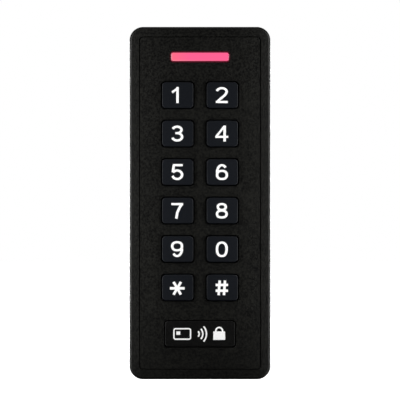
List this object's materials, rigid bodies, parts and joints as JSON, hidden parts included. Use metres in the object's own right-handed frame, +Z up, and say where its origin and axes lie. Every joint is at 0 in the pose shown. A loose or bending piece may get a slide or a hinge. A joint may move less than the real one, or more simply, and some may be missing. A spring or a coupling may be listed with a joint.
{
  "type": "keypad access reader",
  "caption": "Slim upright door reader with two columns of push keys, a lit status bar, a small nameplate and a screw-on wall plate.",
  "frame": {"origin": "centre of the wall plate's back face, which lies on the wall, midway between the two wall screws", "axes": "+X to the right as the user sees it, +Y into the wall, +Z up; the keys face -Y"},
  "size_m": [0.05, 0.022, 0.125],
  "materials": {
    "housing_abs": "fine spark texture, matt",
    "inner_abs": "smooth moulded, satin",
    "seal_rubber": "matt elastomer",
    "lit_window": "translucent, lit pink from behind",
    "white_plastic": "moulded, satin",
    "nameplate_black": "smooth, satin",
    "white_print": "printed",
    "silicone": "soft matt silicone",
    "board_laminate": "solder mask over glass laminate",
    "gilt_pads": "gold plated",
    "led_white": "moulded lamp packages",
    "ivory_plastic": "moulded nylon",
    "copper_wire": "enamelled copper winding",
    "black_case": "moulded epoxy",
    "small_parts": "mixed component bodies",
    "sensor_ceramic": "ceramic face with a serpentine track",
    "clear_plastic": "clear moulded",
    "steel": "plated steel",
    "brass": "turned, knurled",
    "key_plastic": "smooth moulded, satin"
  },
  "bodies": {
    "reader": {"front_cover": "housing_abs", "rear_cover": "inner_abs", "wall_plate": "housing_abs", "housing_seal": "seal_rubber", "indicator_window": "lit_window", "light_shroud": "white_plastic", "nameplate": "nameplate_black", "nameplate_mark": "white_print", "keypad_mat": "silicone", "main_board": "board_laminate", "key_contacts": "gilt_pads", "indicator_leds": "led_white", "coil_former": "ivory_plastic", "antenna_coil": "copper_wire", "buzzer": "black_case", "control_chip": "black_case", "wire_header": "ivory_plastic", "board_parts": "small_parts", "tamper_sensor": "sensor_ceramic", "tamper_window": "clear_plastic", "cable_grommet": "seal_rubber", "case_screws": "steel", "board_screws": "steel", "security_screw": "steel", "plate_insert": "brass"},
    "key_1": {"keycap_1": "key_plastic", "legend_1": "white_print"},
    "key_2": {"keycap_2": "key_plastic", "legend_2": "white_print"},
    "key_3": {"keycap_3": "key_plastic", "legend_3": "white_print"},
    "key_4": {"keycap_4": "key_plastic", "legend_4": "white_print"},
    "key_5": {"keycap_5": "key_plastic", "legend_5": "white_print"},
    "key_6": {"keycap_6": "key_plastic", "legend_6": "white_print"},
    "key_7": {"keycap_7": "key_plastic", "legend_7": "white_print"},
    "key_8": {"keycap_8": "key_plastic", "legend_8": "white_print"},
    "key_9": {"keycap_9": "key_plastic", "legend_9": "white_print"},
    "key_0": {"keycap_0": "key_plastic", "legend_0": "white_print"},
    "key_star": {"keycap_star": "key_plastic", "legend_star": "white_print"},
    "key_hash": {"keycap_hash": "key_plastic", "legend_hash": "white_print"}
  },
  "joints": [
    {"name": "key_1_press", "type": "slide", "parent": "reader", "child": "key_1", "axis": [0, 1, 0], "range_m": [0, 0.0008], "stiffness_N_per_m": 1500, "deforming": ["keypad_mat"]},
    {"name": "key_2_press", "type": "slide", "parent": "reader", "child": "key_2", "axis": [0, 1, 0], "range_m": [0, 0.0008], "stiffness_N_per_m": 1500, "deforming": ["keypad_mat"]},
    {"name": "key_3_press", "type": "slide", "parent": "reader", "child": "key_3", "axis": [0, 1, 0], "range_m": [0, 0.0008], "stiffness_N_per_m": 1500, "deforming": ["keypad_mat"]},
    {"name": "key_4_press", "type": "slide", "parent": "reader", "child": "key_4", "axis": [0, 1, 0], "range_m": [0, 0.0008], "stiffness_N_per_m": 1500, "deforming": ["keypad_mat"]},
    {"name": "key_5_press", "type": "slide", "parent": "reader", "child": "key_5", "axis": [0, 1, 0], "range_m": [0, 0.0008], "stiffness_N_per_m": 1500, "deforming": ["keypad_mat"]},
    {"name": "key_6_press", "type": "slide", "parent": "reader", "child": "key_6", "axis": [0, 1, 0], "range_m": [0, 0.0008], "stiffness_N_per_m": 1500, "deforming": ["keypad_mat"]},
    {"name": "key_7_press", "type": "slide", "parent": "reader", "child": "key_7", "axis": [0, 1, 0], "range_m": [0, 0.0008], "stiffness_N_per_m": 1500, "deforming": ["keypad_mat"]},
    {"name": "key_8_press", "type": "slide", "parent": "reader", "child": "key_8", "axis": [0, 1, 0], "range_m": [0, 0.0008], "stiffness_N_per_m": 1500, "deforming": ["keypad_mat"]},
    {"name": "key_9_press", "type": "slide", "parent": "reader", "child": "key_9", "axis": [0, 1, 0], "range_m": [0, 0.0008], "stiffness_N_per_m": 1500, "deforming": ["keypad_mat"]},
    {"name": "key_0_press", "type": "slide", "parent": "reader", "child": "key_0", "axis": [0, 1, 0], "range_m": [0, 0.0008], "stiffness_N_per_m": 1500, "deforming": ["keypad_mat"]},
    {"name": "key_star_press", "type": "slide", "parent": "reader", "child": "key_star", "axis": [0, 1, 0], "range_m": [0, 0.0008], "stiffness_N_per_m": 1500, "deforming": ["keypad_mat"]},
    {"name": "key_hash_press", "type": "slide", "parent": "reader", "child": "key_hash", "axis": [0, 1, 0], "range_m": [0, 0.0008], "stiffness_N_per_m": 1500, "deforming": ["keypad_mat"]}
  ]
}
